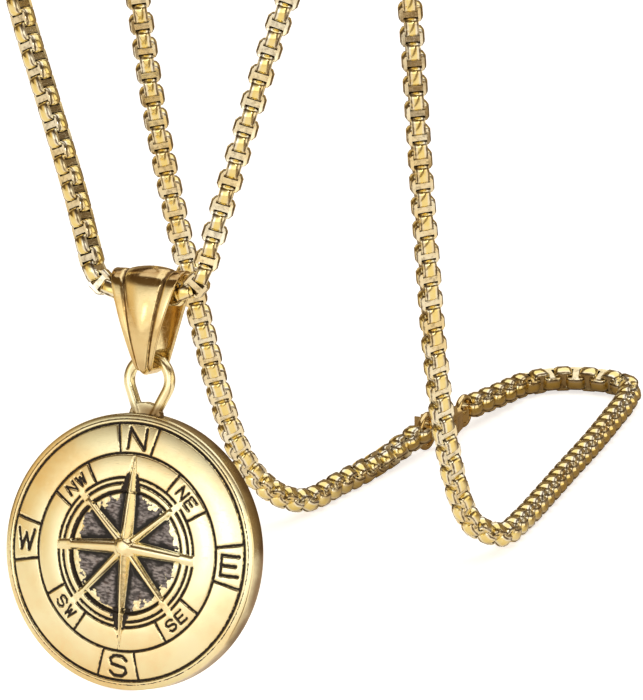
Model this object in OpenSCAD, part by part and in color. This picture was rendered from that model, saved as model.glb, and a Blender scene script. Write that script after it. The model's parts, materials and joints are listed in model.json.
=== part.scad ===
// Compass medallion pendant on a round box chain, hanging over a bar, with the rear of the chain laid down.
// Millimetres. +Z is up and the medallion faces -Y. The origin is where the chain lies on the bar's top.

/* [Medallion] */
// Diameter of the medallion
coin_d = 33; // [28:0.5:33]
// Thickness of the medallion at its rim
coin_t = 3.1; // [2.6:0.05:3.2]
// Rounding of the rim's edges
coin_edge = 0.8; // [0.4:0.1:1]
// Radius of the ball that the domed face is part of
dome_ball = 91; // [80:1:140]
// Height of the dome's top over the rim's front edge
dome_h = 1.33; // [1.2:0.01:1.4]
// Width of an engraved line
line_w = 0.26; // [0.2:0.02:0.34]
// Depth of an engraved line
line_depth = 0.2; // [0.12:0.02:0.3]
// Depth of the dark ground under the star
ground_depth = 0.34; // [0.2:0.02:0.5]
// Lean of the medallion away from upright, in degrees
coin_lean = 11; // [8:1:12]

/* [Compass star] */
// Reach of the north and south arms
arm_ns = 11.4; // [10:0.1:11.6]
// Reach of the east and west arms
arm_ew = 9.1; // [8:0.1:9.3]
// Reach of the diagonal arms
arm_diag = 8.1; // [7:0.1:8.3]
// Widest half width of the north and south arms
arm_half = 0.68; // [0.5:0.02:0.9]

/* [Loop on the medallion] */
// Radius from the loop's middle to its wire's middle
loop_r = 2.7; // [2.6:0.05:2.8]
// Thickness of the loop's wire
loop_wire = 1.4; // [1.3:0.1:1.5]
// Height of the loop's middle over the medallion's middle
loop_up = 20.7; // [20.6:0.1:20.9]

/* [Bail] */
// Height of the bail
bail_h = 12.5; // [12.4:0.05:12.6]
// Width of the bail at its crest
bail_top_w = 9.7; // [9:0.1:9.9]
// Width of the bail at its foot
bail_foot_w = 1.7; // [1.5:0.1:2]
// Radius inside the bail's upper fold
bail_fold_r = 2.05; // [2.04:0.01:2.1]
// Wall of the bail at its side ribs
bail_wall = 0.5; // [0.45:0.05:0.6]
// Height of the middle panel over the side ribs
bail_step = 0.15; // [0.1:0.05:0.2]
// Share of the width that the middle panel takes
bail_panel = 0.58; // [0.5:0.02:0.7]
// Lean of the bail away from upright, in degrees
bail_lean = 8; // [6:1:10]
// Turn of the bail in its own plane, in degrees
bail_roll = 4; // [2:1:5]

/* [Chain] */
// Width of the chain over its links
chain_w = 3; // [2.8:0.1:3]
// Length of a link
link_l = 2.5; // [2.4:0.05:2.6]
// Width of a link's strip
link_strip = 1.56; // [1.4:0.02:1.6]
// Wall of a link's strip
link_wall = 0.42; // [0.36:0.02:0.44]

/* [Clasp] */
// Thickness of the clasp's body
clasp_t = 2.2; // [2:0.1:2.4]
// Thickness of the lever
lever_t = 1; // [0.8:0.05:1]
// Radius of the lever's pin
pin_r = 0.45; // [0.4:0.01:0.5]
// Radial clearance of the lever on its pin
pin_gap = 0.05; // [0.03:0.01:0.08]
// Wire radius of the two jump rings
ring_wire = 0.4; // [0.35:0.05:0.45]
// Radius of the jump ring at the clasp's hook
hook_ring_r = 2; // [1.9:0.05:2.05]
// Radius of the jump ring at the clasp's eye
eye_ring_r = 1.7; // [1.65:0.05:1.75]

/* [Hidden] */
gold = [0.83, 0.66, 0.3];
round_fn = 48;
fine_fn = 96;
wire_fn = 24;
slip = 0.01;

// The chain's route from the clasp's hook end, back up over the bar, down to the bail, up, over and back down.
chain_route = [
    [-17.3, 84.15, -117.6], [-17.4, 75, -118.5], [-17.2, 63.7, -118.5], [-16.9, 53.7, -118.1],
    [-17.6, 46.6, -115.3], [-17.9, 39.4, -109.6], [-17.4, 32, -99.5], [-16.6, 24.5, -86.5],
    [-16.4, 18.2, -73], [-16.4, 13, -59.5], [-16.5, 9.3, -46], [-18, 7.6, -30], [-20.4, 7, -15],
    [-22, 6.2, -5.5], [-23.4, 4.4, -0.6], [-25.2, 0, 1.5], [-27, -4.4, -0.6], [-28.2, -6.2, -5.5],
    [-28.6, -8.1, -14], [-26, -10.4, -28], [-21.2, -12.6, -41.5], [-16.5, -14.6, -51.8],
    [-12, -16.4, -62], [-9.4, -17.9, -68], [-8.1, -18.5, -71.1], [-6.8, -18.65, -72.4],
    [-5.1, -18.7, -73], [-2.5, -18.7, -72.9], [0.5, -18.7, -72.6], [3.4, -18.7, -72.3],
    [5, -18.6, -71.5], [6.1, -18.3, -70], [6.8, -17.6, -66.8], [8.2, -16.3, -60.5],
    [10.4, -14.5, -51], [12.3, -13, -43], [15.5, -11, -32], [19.4, -8.6, -18], [21.5, -6.2, -5.5],
    [21.3, -4.4, -0.6], [20.6, 0, 1.5], [19.9, 4.4, -0.6], [19.3, 6.2, -5.5],
    [17.2, 11.3, -25], [16.1, 17, -43.5], [15.4, 20.6, -60], [14.3, 25, -75.5], [13, 29.9, -90],
    [11.8, 35.5, -103], [11.1, 42.9, -114.3], [11.9, 49.8, -117.9], [10.3, 58.8, -118.5], [7.7, 70.3, -118.5],
    [4.8, 82.5, -118.5], [2.1, 94.2, -118.5], [-0.9, 106, -118.5], [-3.5, 115.3, -118.5],
    [-6.1, 120.8, -118.5], [-10.8, 122, -118.5], [-15.4, 120.4, -118.5], [-18, 116, -118.5],
    [-17.8, 109.6, -118.1], [-17.6, 101.6, -117.6],
];
tube_sides = 8;
ring_step = 9.5;
tube_r = chain_w / 2 / cos(180 / tube_sides);

// Places in the medallion: x to its right, y up its face, z out of its front, from its middle.
coin_at = [0, -24.1, -103.4];
coin_r = coin_d / 2;
front_edge = coin_t / 2;
dome_top = front_edge + dome_h;
ring_lines = [15.46, 11.9, 9, 8.35];
ground_r = 7.4;
line_reach = 3;
groove_step = 0.04;

// The bail's places are from hang_at, in the loop's wire over the bail's foot, where the medallion swings.
hang_at = coin_at + (loop_up + loop_r) * [0, sin(coin_lean), cos(coin_lean)];
bail_foot = -1.7;
bail_thick = bail_wall + bail_step;
crest_y = bail_foot + bail_h - bail_thick - bail_fold_r;
foot_round = 1.2;

// The clasp lies in line between the chain's two ends.
hook_end = chain_route[0];
eye_end = chain_route[len(chain_route) - 1];
clasp_turn = atan2(eye_end[1] - hook_end[1], eye_end[0] - hook_end[0]);
end_gap = 0.2;
seat = 0.08;
hook_ring_s = end_gap + link_l - link_wall - seat - ring_wire
    + sqrt(pow(hook_ring_r, 2) - pow(link_strip / 2, 2));
clasp_s = 3.71;
eye_x = 8.61;
eye_ring_s = clasp_s + eye_x + 1.85;
pivot = [5.9, 0.9];
slot_t = lever_t + 0.16;
nose_wall = 1.05;

// Points along the route

function unit(v) = v / norm(v);
function knot(i) = chain_route[max(0, min(len(chain_route) - 1, i))];
function pace(i) = (knot(i + 1) - knot(i - 1)) / (norm(knot(i + 1) - knot(i)) + norm(knot(i) - knot(i - 1)));
function reach(i) = norm(knot(i + 1) - knot(i));
function on_route(i, t) =
    knot(i) * (2 * pow(t, 3) - 3 * pow(t, 2) + 1) + knot(i + 1) * (3 * pow(t, 2) - 2 * pow(t, 3))
    + pace(i) * reach(i) * (pow(t, 3) - 2 * pow(t, 2) + t)
    + pace(i + 1) * reach(i) * (pow(t, 3) - pow(t, 2));
function parts(i) = max(1, round(reach(i) / ring_step));
tube_mid = concat(
    [for (i = [0:len(chain_route) - 2]) for (k = [0:parts(i) - 1]) on_route(i, k / parts(i))],
    [knot(len(chain_route) - 1)]
);

// Tube swept along the points, its rings carried along without twist

function heading(p, i) = unit(p[min(i + 1, len(p) - 1)] - p[max(i - 1, 0)]);
function carry(side, along) = unit(side - along * (side * along));
function sides_of(p) = [
    for (i = 0, s = carry([0, 0, 1], heading(p, 0)); i < len(p);
        i = i + 1, s = carry(s, heading(p, min(i, len(p) - 1)))) s
];

module tube(p, r, n) {
    side = sides_of(p);
    last = (len(p) - 1) * n;
    points = [
        for (i = [0:len(p) - 1]) for (k = [0:n - 1])
            let (a = (k + 0.5) * 360 / n)
            p[i] + r * (cos(a) * side[i] + sin(a) * cross(heading(p, i), side[i]))
    ];
    walls = [
        for (i = [0:len(p) - 2]) for (k = [0:n - 1])
            let (a = i * n + k, b = i * n + (k + 1) % n)
            [a, a + n, b + n, b]
    ];
    start = [[for (k = [0:n - 1]) k]];
    finish = [[for (k = [n - 1:-1:0]) last + k]];
    polyhedron(points, concat(walls, start, finish), convexity = 12);
}

// Medallion

function face_z(r) = dome_top - dome_ball + sqrt(pow(dome_ball, 2) - pow(r, 2));
function notch(r) = [
    [r + line_w / 2, face_z(r + line_w / 2)], [r + line_w / 2, face_z(r) - line_depth],
    [r - line_w / 2, face_z(r) - line_depth], [r - line_w / 2, face_z(r - line_w / 2)],
];
function rounding(r, z, from, to) = [
    for (a = [from:18:to]) [r + coin_edge * cos(a), z + coin_edge * sin(a)]
];

module coin() {
    inner = coin_r - coin_edge;
    profile = concat(
        [[0, -front_edge]],
        rounding(inner, coin_edge - front_edge, -90, 0),
        rounding(inner, front_edge - coin_edge, 0, 90),
        notch(ring_lines[0] * coin_d / 33), [[13.7, face_z(13.7)]],
        notch(ring_lines[1]), [[10.4, face_z(10.4)]],
        notch(ring_lines[2]), notch(ring_lines[3]),
        [[ground_r, face_z(ground_r)], [ground_r, face_z(ground_r) - ground_depth]],
        [[3.7, face_z(3.7) - ground_depth], [0, face_z(0) - ground_depth]]
    );
    rotate_extrude($fn = fine_fn) polygon(profile);
}

// Strokes of the compass marks, in a box one wide and one high
function mark(c) =
    c == "N" ? [[[0, 0], [0, 1], [1, 0], [1, 1]]]
    : c == "E" ? [[[1, 0], [0, 0], [0, 1], [1, 1]], [[0, 0.5], [0.85, 0.5]]]
    : c == "W" ? [[[0, 1], [0.25, 0], [0.5, 0.8], [0.75, 0], [1, 1]]]
    : [[[1, 0.8], [0.75, 1], [0.25, 1], [0, 0.8], [0.1, 0.58], [0.9, 0.42], [1, 0.2], [0.75, 0], [0.25, 0], [0, 0.2]]];

module stroke(a, b) {
    translate(a) rotate(atan2(b[1] - a[1], b[0] - a[0]))
        translate([-line_w / 2, -line_w / 2]) square([norm(b - a) + line_w, line_w]);
}

module letter(c, w, h) {
    for (line = mark(c)) for (i = [0:len(line) - 2])
        stroke([(line[i][0] - 0.5) * w, (line[i][1] - 0.5) * h],
            [(line[i + 1][0] - 0.5) * w, (line[i + 1][1] - 0.5) * h]);
}

module panel(turn, low_r, low_half, high_r, high_half) {
    rotate(-turn) for (s = [-1, 1]) stroke([s * low_half, low_r], [s * high_half, high_r]);
}

// Turn of a mark, its letters, the size of one and how far apart the letters stand
main_marks = [[0, "N"], [90, "E"], [180, "S"], [270, "W"]];
small_marks = [[45, "N", "E"], [135, "S", "E"], [225, "S", "W"], [315, "N", "W"]];
main_letter = [1.9, 2.35];
small_letter = [0.95, 1.3];
small_apart = 0.82;

module engraving() {
    low = face_z(coin_r) - 1;
    difference() {
        translate([0, 0, low]) linear_extrude(line_reach + 1) {
            for (m = main_marks) {
                panel(m[0], ring_lines[1], 2.1, ring_lines[0], 2.8);
                rotate(-m[0]) translate([0, 13.7]) rotate(m[0]) letter(m[1], main_letter[0], main_letter[1]);
            }
            for (m = small_marks) {
                tip = cos(m[0]) > 0 ? 0 : 180;
                panel(m[0], ring_lines[2], 2.35, ring_lines[1], 2.85);
                rotate(-m[0]) translate([0, 10.45]) rotate(tip) for (s = [-1, 1])
                    translate([s * small_apart, 0]) letter(m[s < 0 ? 1 : 2], small_letter[0], small_letter[1]);
            }
        }
        translate([0, 0, dome_top - dome_ball]) sphere(dome_ball - line_depth - groove_step, $fn = fine_fn);
    }
}

// One arm of the star: a ridge that is widest near the middle, follows the dome and falls to a point
module arm(turn, tip, half, ridge) {
    wide_y = 1.1;
    mid_y = 0.62 * tip;
    mid_half = 0.55 * half;
    base_z = face_z(0) - ground_depth - 0.3;
    mid_low = face_z(mid_y) - ground_depth - 0.1;
    tip_z = face_z(tip) + 0.02;
    rotate(-turn) polyhedron([
        [0, 0, base_z - 1], [half, wide_y, base_z - 1], [mid_half, mid_y, base_z - 1],
        [0, tip, tip_z - 1.2], [-mid_half, mid_y, base_z - 1], [-half, wide_y, base_z - 1],
        [0, 0, ridge], [half, wide_y, base_z + 0.3], [mid_half, mid_y, mid_low],
        [0, tip, tip_z], [-mid_half, mid_y, mid_low], [-half, wide_y, base_z + 0.3],
        [0, wide_y, ridge - 0.02], [0, mid_y, face_z(mid_y) + 0.16],
    ], [
        [0, 1, 2], [0, 2, 4], [0, 4, 5], [2, 3, 4],
        [0, 6, 7], [0, 7, 1], [1, 7, 8], [1, 8, 2], [2, 8, 9], [2, 9, 3],
        [3, 9, 10], [3, 10, 4], [4, 10, 11], [4, 11, 5], [5, 11, 6], [5, 6, 0],
        [6, 12, 7], [7, 12, 8], [8, 12, 13], [8, 13, 9], [9, 13, 10], [10, 13, 12], [10, 12, 11], [11, 12, 6],
    ], convexity = 4);
}

module star() {
    top = dome_top + 0.2;
    for (turn = [45:90:315]) arm(turn, arm_diag, arm_half * 0.72, top - 0.2);
    for (turn = [90, 270]) arm(turn, arm_ew, arm_half * 0.95, top - 0.08);
    for (turn = [0, 180]) arm(turn, arm_ns, arm_half, top);
    translate([0, 0, top - 0.95]) cylinder(h = 1, r1 = 1.3, r2 = 0.3, $fn = round_fn);
}

module loop() {
    wire = loop_wire / 2;
    leg_turn = 25;
    leg_in = 0.6;
    leg_lap = 0.2;
    leg_r = wire + 0.05;
    leg = (loop_up - loop_r * sin(leg_turn) - coin_r + leg_in) / cos(leg_turn) + leg_lap;
    translate([0, loop_up, 0]) rotate(-leg_turn) rotate_extrude(angle = 180 + 2 * leg_turn, $fn = round_fn)
        translate([loop_r, 0]) circle(wire, $fn = wire_fn);
    for (s = [-1, 1])
        translate([s * loop_r * cos(leg_turn), loop_up - loop_r * sin(leg_turn), 0])
            rotate([90, 0, -s * leg_turn]) translate([0, 0, -leg_lap]) cylinder(h = leg, r = leg_r, $fn = wire_fn);
    translate([0, 0, -wire + 0.1]) linear_extrude(loop_wire - 0.2)
        polygon([[-2.3, 15.8], [2.3, 15.8], [1.5, 17.5], [0, 18.05], [-1.5, 17.5]]);
    // The short round in the bail's foot, which the medallion swings on
    translate([0, loop_up + loop_r, 0]) rotate([0, 90, 0])
        cylinder(h = 0.5, r = wire + 0.03, center = true, $fn = round_fn);
}

module medallion() {
    color(gold) translate(coin_at) rotate([90 - coin_lean, 0, 0]) {
        difference() {
            coin();
            engraving();
        }
        star();
        loop();
    }
}

// Bail

// The folded strap from the side: round at the crest, nearly square at the foot
module side_outline(half, low, corner) {
    translate([0, crest_y]) circle(half, $fn = round_fn);
    translate([-half, low + corner]) square([2 * half, crest_y - low - corner]);
    translate([corner - half, low]) square([2 * (half - corner), corner + slip]);
    for (s = [-1, 1]) translate([s * (half - corner), low + corner]) circle(corner, $fn = round_fn);
}

// The strap cut to its taper, with its outside a given thickness over the space in it
module folded(thick, top_w, foot_w) {
    half = bail_fold_r + thick;
    inside = bail_foot + bail_thick;
    intersection() {
        rotate([0, 90, 0]) linear_extrude(bail_top_w + 2, center = true) difference() {
            side_outline(half, inside - thick, foot_round);
            side_outline(bail_fold_r, inside, foot_round - bail_wall);
        }
        linear_extrude(4 * half, center = true) polygon([
            [-foot_w / 2, bail_foot - slip], [foot_w / 2, bail_foot - slip],
            [top_w / 2, bail_foot + bail_h + slip], [-top_w / 2, bail_foot + bail_h + slip],
        ]);
    }
}

module bail() {
    color(gold) translate(hang_at) rotate([90 - bail_lean, 0, 0]) rotate(bail_roll) {
        folded(bail_wall, bail_top_w, bail_foot_w);
        folded(bail_thick, bail_top_w * bail_panel, bail_foot_w * bail_panel);
    }
}

// Chain

module chain() {
    color(gold) tube(tube_mid, tube_r, tube_sides);
}

// Places along the clasp: x from the hook end's chain, y across, z up
module on_clasp(s) {
    translate(hook_end) rotate(clasp_turn) translate([s, 0, 0]) children();
}

// A chain link seen down its hole, its length along x
module link() {
    linear_extrude(link_strip, center = true) difference() {
        intersection() {
            square([link_l, chain_w], center = true);
            circle(chain_w * 0.58, $fn = round_fn);
        }
        square([link_l - 2 * link_wall, chain_w - 2 * link_wall], center = true);
    }
}

module end_link_left() {
    color(gold) on_clasp(end_gap + link_l / 2) link();
}

module end_link_right() {
    color(gold) on_clasp(norm(eye_end - hook_end) - end_gap - link_l / 2) link();
}

module upright_ring(r) {
    rotate([90, 0, 0]) rotate_extrude($fn = round_fn) translate([r, 0]) circle(ring_wire, $fn = round_fn);
}

module hook_ring() {
    color(gold) on_clasp(hook_ring_s) upright_ring(hook_ring_r);
}

module eye_ring() {
    color(gold) on_clasp(eye_ring_s) upright_ring(eye_ring_r);
}

// Clasp: x from the nose to the eye, y towards the lever

module drop(nose_r, nose_x, tail_r, tail_x) {
    translate([nose_x, 0]) circle(nose_r, $fn = round_fn);
    translate([tail_x, 0]) circle(tail_r, $fn = round_fn);
    polygon([[nose_x, nose_r], [tail_x, tail_r], [tail_x, -tail_r], [nose_x, -nose_r]]);
}

module clasp_body() {
    nose_r = 2.7;
    color(gold) on_clasp(clasp_s) {
        difference() {
            linear_extrude(clasp_t, center = true) difference() {
                drop(nose_r, nose_r, 1.9, 5.9);
                drop(nose_r - nose_wall, nose_r, 0.8, 4.6);
                translate([2, 0.9]) square([3.2, 3]);
            }
            translate([4, -0.2, -slot_t / 2]) cube([3.05, 4, slot_t]);
        }
        translate([pivot[0], pivot[1], -clasp_t / 2 + 0.1]) cylinder(h = clasp_t - 0.2, r = pin_r, $fn = round_fn);
        linear_extrude(1.4, center = true) difference() {
            union() {
                translate([eye_x, 0]) circle(1.5, $fn = round_fn);
                translate([7.1, -1]) square([1, 2]);
            }
            translate([eye_x, 0]) circle(0.8, $fn = round_fn);
        }
    }
}

module clasp_lever() {
    color(gold) on_clasp(clasp_s) linear_extrude(lever_t, center = true) difference() {
        union() {
            translate(pivot) circle(0.95, $fn = round_fn);
            polygon([[5.2, 0.5], [6.2, 1.8], [5.5, 2.35], [4.6, 2.5], [2.5, 2.55], [2.25, 1.65], [4.3, 1.6]]);
            translate([5.1, 2.75]) circle(0.5, $fn = round_fn);
            polygon([[4.6, 2.4], [5.6, 2.2], [5.5, 2.9], [4.7, 2.9]]);
        }
        translate(pivot) circle(pin_r + pin_gap, $fn = round_fn);
    }
}

medallion();
bail();
chain();
end_link_left();
end_link_right();
hook_ring();
eye_ring();
clasp_body();
clasp_lever();
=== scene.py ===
"""Looks of a compass medallion on a round box chain, in metres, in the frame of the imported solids.

+Z is up, the medallion faces -Y, and the origin is where the chain lies over its bar.
"""

from __future__ import annotations

import json
import logging
import math
from dataclasses import dataclass
from enum import Enum

import bmesh
import bpy
import numpy as np
from mathutils import Matrix, Vector, noise

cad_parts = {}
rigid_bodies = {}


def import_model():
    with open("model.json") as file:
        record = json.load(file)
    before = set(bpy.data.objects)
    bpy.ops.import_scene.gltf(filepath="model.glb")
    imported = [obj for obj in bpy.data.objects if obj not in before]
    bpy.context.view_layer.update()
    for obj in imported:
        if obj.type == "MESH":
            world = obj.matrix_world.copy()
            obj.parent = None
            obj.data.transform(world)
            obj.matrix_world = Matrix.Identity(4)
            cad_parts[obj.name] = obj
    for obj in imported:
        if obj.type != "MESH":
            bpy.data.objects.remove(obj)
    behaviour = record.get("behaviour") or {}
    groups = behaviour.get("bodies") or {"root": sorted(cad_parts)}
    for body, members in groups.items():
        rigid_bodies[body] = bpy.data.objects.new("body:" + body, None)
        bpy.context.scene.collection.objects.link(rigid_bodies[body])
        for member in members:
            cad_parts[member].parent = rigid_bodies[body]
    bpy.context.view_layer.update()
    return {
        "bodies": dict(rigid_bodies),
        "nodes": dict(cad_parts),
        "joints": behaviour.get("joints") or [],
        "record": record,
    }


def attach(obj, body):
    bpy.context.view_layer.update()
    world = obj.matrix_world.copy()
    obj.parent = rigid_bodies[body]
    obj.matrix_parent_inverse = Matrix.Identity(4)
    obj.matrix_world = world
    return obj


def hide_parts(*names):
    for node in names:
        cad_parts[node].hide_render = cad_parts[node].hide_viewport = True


LOG = logging.getLogger("pendant")
MM = 0.001
Rgb = tuple[float, float, float]
Point2 = tuple[float, float]
Point3 = tuple[float, float, float]
Profile = list[tuple[float, float, float, float]]
Faces = list[tuple[int, ...]]
Piece = bpy.types.Object
Socket = bpy.types.NodeSocket
Tree = bpy.types.NodeTree

DUST: Rgb = (0.62, 0.55, 0.42)
BROWN: Rgb = (0.13, 0.08, 0.035)
BUMP, BUMP_DEPTH, SCRATCH_HEIGHT = 0.25, 0.00002, 0.35
RECESS_ROUGHER = 0.22

# The coin's middle and its lean back in degrees, the loop's top above the middle, the bail's lean and roll
COIN_AT: Point3 = (0.0, -0.0241, -0.1034)
COIN_LEAN = 11.0
HANG_UP = 0.0234
BAIL_LEAN, BAIL_ROLL = 8.0, 4.0
# The way from the pendant to the camera, and where the lights shine
VIEW_BACK = Vector((0.4385, -0.8607, 0.2588))
LIT = Vector((0.0, 0.0, -0.09))
# The relief layer far from lines, ground and arms: ways in millimetres
PLAIN: Point3 = (1.0, -5.0, 2.0)

# The chain's middle line from the clasp's hook, up over the bar, down to the bail, and back the same way
CHAIN_ROUTE: tuple[Point3, ...] = (
    (-0.0173, 0.08415, -0.1176), (-0.0174, 0.075, -0.1185), (-0.0172, 0.0637, -0.1185),
    (-0.0169, 0.0537, -0.1181), (-0.0176, 0.0466, -0.1153), (-0.0179, 0.0394, -0.1096),
    (-0.0174, 0.032, -0.0995), (-0.0166, 0.0245, -0.0865), (-0.0164, 0.0182, -0.073),
    (-0.0164, 0.013, -0.0595), (-0.0165, 0.0093, -0.046), (-0.018, 0.0076, -0.03),
    (-0.0204, 0.007, -0.015), (-0.022, 0.0062, -0.0055), (-0.0234, 0.0044, -0.0006),
    (-0.0252, 0.0, 0.0015), (-0.027, -0.0044, -0.0006), (-0.0282, -0.0062, -0.0055),
    (-0.0286, -0.0081, -0.014), (-0.026, -0.0104, -0.028), (-0.0212, -0.0126, -0.0415),
    (-0.0165, -0.0146, -0.0518), (-0.012, -0.0164, -0.062), (-0.0094, -0.0179, -0.068),
    (-0.0081, -0.0185, -0.0711), (-0.0068, -0.01865, -0.0724), (-0.0051, -0.0187, -0.073),
    (-0.0025, -0.0187, -0.0729), (0.0005, -0.0187, -0.0726), (0.0034, -0.0187, -0.0723),
    (0.005, -0.0186, -0.0715), (0.0061, -0.0183, -0.07), (0.0068, -0.0176, -0.0668),
    (0.0082, -0.0163, -0.0605), (0.0104, -0.0145, -0.051), (0.0123, -0.013, -0.043),
    (0.0155, -0.011, -0.032), (0.0194, -0.0086, -0.018), (0.0215, -0.0062, -0.0055),
    (0.0213, -0.0044, -0.0006), (0.0206, 0.0, 0.0015), (0.0199, 0.0044, -0.0006),
    (0.0193, 0.0062, -0.0055), (0.0172, 0.0113, -0.025), (0.0161, 0.017, -0.0435),
    (0.0154, 0.0206, -0.06), (0.0143, 0.025, -0.0755), (0.013, 0.0299, -0.09), (0.0118, 0.0355, -0.103),
    (0.0111, 0.0429, -0.1143), (0.0119, 0.0498, -0.1179), (0.0103, 0.0588, -0.1185),
    (0.0077, 0.0703, -0.1185), (0.0048, 0.0825, -0.1185), (0.0021, 0.0942, -0.1185),
    (-0.0009, 0.106, -0.1185), (-0.0035, 0.1153, -0.1185), (-0.0061, 0.1208, -0.1185),
    (-0.0108, 0.122, -0.1185), (-0.0154, 0.1204, -0.1185), (-0.018, 0.116, -0.1185),
    (-0.0178, 0.1096, -0.1181), (-0.0176, 0.1016, -0.1176),
)


class Facing(Enum):
    """How a stretch of the box chain is turned towards the front, in degrees."""

    FACE_ON = 0.0
    A_LITTLE = -12.0
    HALF_TURNED = -30.0
    OTHER_CORNER_ON = -45.0
    CORNER_ON = 45.0
    LEVEL = -1.0


class Layer(str, Enum):
    """Names of the layers that the meshes carry for their materials."""

    RELIEF = "relief"
    RECESS = "recess"
    FACE = "face"


@dataclass(frozen=True)
class Finish:
    """A metal finish: its colours and polish, the painted shade in its recesses (a random patina where there is no
    recess layer) and its painted reflection tone.
    """

    name: str
    bright: Rgb
    warm: Rgb
    shade: Rgb
    roughness: float
    cloud_size: float = 0.004
    scratch: float = 0.10
    dust: float = 0.15
    wear: float = 0.35
    age: float = 0.9
    # Painted reflection tone, shown where the recess layer is below zero
    reflection_tone: Rgb = (0.88, 0.69, 0.19)


# The polished gold's reflection tone is the painted dark brown reflection on the bail's crest; the bail also takes it,
# weaker, towards its foot
POLISHED_GOLD = Finish("polished_gold", (0.84, 0.68, 0.36), (0.64, 0.41, 0.14), (0.10, 0.040, 0.008), 0.12,
                       scratch=0.06, reflection_tone=(0.38, 0.21, 0.07))
CHAIN_GOLD = Finish("chain_gold", (0.92, 0.87, 0.69), (0.83, 0.66, 0.33), (0.065, 0.026, 0.006), 0.12,
                    cloud_size=0.006, scratch=0.05)
MEDALLION_GOLD = Finish("medallion_gold", (0.95, 0.88, 0.57), (0.90, 0.67, 0.32), (0.19, 0.105, 0.035), 0.20,
                        cloud_size=0.011, scratch=0.05, dust=0.08)


@dataclass(frozen=True)
class Blackening:
    """The medallion's blackened lines, the scratched dark ground between the star's arms and the painted shadow beside
    them.
    """

    line: Rgb = (0.020, 0.010, 0.004)
    slate: Rgb = (0.075, 0.065, 0.068)
    scratched: Rgb = (0.42, 0.38, 0.385)
    rust: Rgb = (0.11, 0.055, 0.035)
    arm_shadow: Rgb = (0.006, 0.004, 0.003)
    roughness: float = 0.52
    metal: float = 0.15


@dataclass(frozen=True)
class Wiring:
    """Adds nodes to one tree and wires them."""

    tree: Tree

    def give(self, value: object, target: Socket) -> None:
        """Wire a socket to an input, or set the input to a plain value.

        Args:
            value: Socket or plain value.
            target: Input that takes it.
        """
        if isinstance(value, Socket):
            self.tree.links.new(value, target)
        else:
            target.default_value = value

    def add(self, kind: str, values: dict | None = None, **options: object) -> bpy.types.NodeOutputs:
        """Add a node with its options and inputs.

        Args:
            kind: Type of the node.
            values: Socket or plain value for each input, by its name or number.
            options: Options of the node.

        Returns:
            What the node gives.
        """
        node = self.tree.nodes.new(kind)
        for name, option in options.items():
            setattr(node, name, option)
        for name, value in (values or {}).items():
            self.give(value, node.inputs[name])
        return node.outputs

    def effect(self, group: Tree, place: Socket, **values: float | Socket) -> bpy.types.NodeOutputs:
        """Add a shared group with the place on the piece and its other inputs."""
        return self.add("ShaderNodeGroup", {"Vector": place, **values}, node_tree=group)

    def grain(self, place: Socket, size: float, detail: float = 4.0, stretch: Point3 = (1.0, 1.0, 1.0),
              turn: Point3 = (0.0, 0.0, 0.0)) -> Socket:
        """Add a noise with grains of a real size.

        Args:
            place: Place on the piece.
            size: Size of a grain in metres.
            detail: Octaves of the noise.
            stretch: Scale along each axis, more for finer.
            turn: Turn of the grain in degrees.

        Returns:
            The noise's value.
        """
        values = {"Vector": place, "Rotation": [math.radians(a) for a in turn], "Scale": [s / size for s in stretch]}
        mapped = self.add("ShaderNodeMapping", values)["Vector"]
        return self.add("ShaderNodeTexNoise", {"Vector": mapped, "Scale": 1.0, "Detail": detail})["Fac"]

    def ramp(self, value: Socket, low: float, high: float, out_low: float = 0.0, out_high: float = 1.0) -> Socket:
        """Map a value smoothly, from low and high to out_low and out_high."""
        values = {"Value": value, "From Min": low, "From Max": high, "To Min": out_low, "To Max": out_high}
        return self.add("ShaderNodeMapRange", values, interpolation_type="SMOOTHSTEP")["Result"]

    def combine(self, operation: str, first: Socket, second: Socket | float, clamp: bool = False) -> Socket:
        """Join two values with a Math node, its result held from 0 to 1 where it is clamped."""
        return self.add("ShaderNodeMath", {0: first, 1: second}, operation=operation, use_clamp=clamp)[0]

    def blend(self, amount: Socket, base: Socket | Rgb, over: Socket | Rgb) -> Socket:
        """Lay one colour over another, by an amount from 0 to 1."""
        lower, upper = ((*colour, 1.0) if isinstance(colour, tuple) else colour for colour in (base, over))
        return self.add("ShaderNodeMix", {"Factor": amount, 6: lower, 7: upper}, data_type="RGBA")[2]


def start_group(name: str, kind: str, inputs: dict[str, str], outputs: dict[str, str]) -> tuple:
    """Start a node group with named sockets.

    Args:
        name: Name of the group.
        kind: Type of its tree.
        inputs: Kind of each named input, such as Float.
        outputs: Kind of each named output.

    Returns:
        The group's wiring, the sockets that come in and the sockets that go out.
    """
    group = bpy.data.node_groups.new(name, kind)
    for way, sockets in (("INPUT", inputs), ("OUTPUT", outputs)):
        for label, socket in sockets.items():
            group.interface.new_socket(label, in_out=way, socket_type="NodeSocket" + socket)
    return Wiring(group), group.nodes.new("NodeGroupInput").outputs, group.nodes.new("NodeGroupOutput").inputs


def start_effect(name: str, floats: tuple[str, ...], gives: tuple[str, ...] = ("Mask",)) -> tuple:
    """Start a shader group that takes a place and named numbers, and gives named numbers."""
    inputs = {"Vector": "Vector", **dict.fromkeys(floats, "Float")}
    return start_group(name, "ShaderNodeTree", inputs, dict.fromkeys(gives, "Float"))


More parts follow.
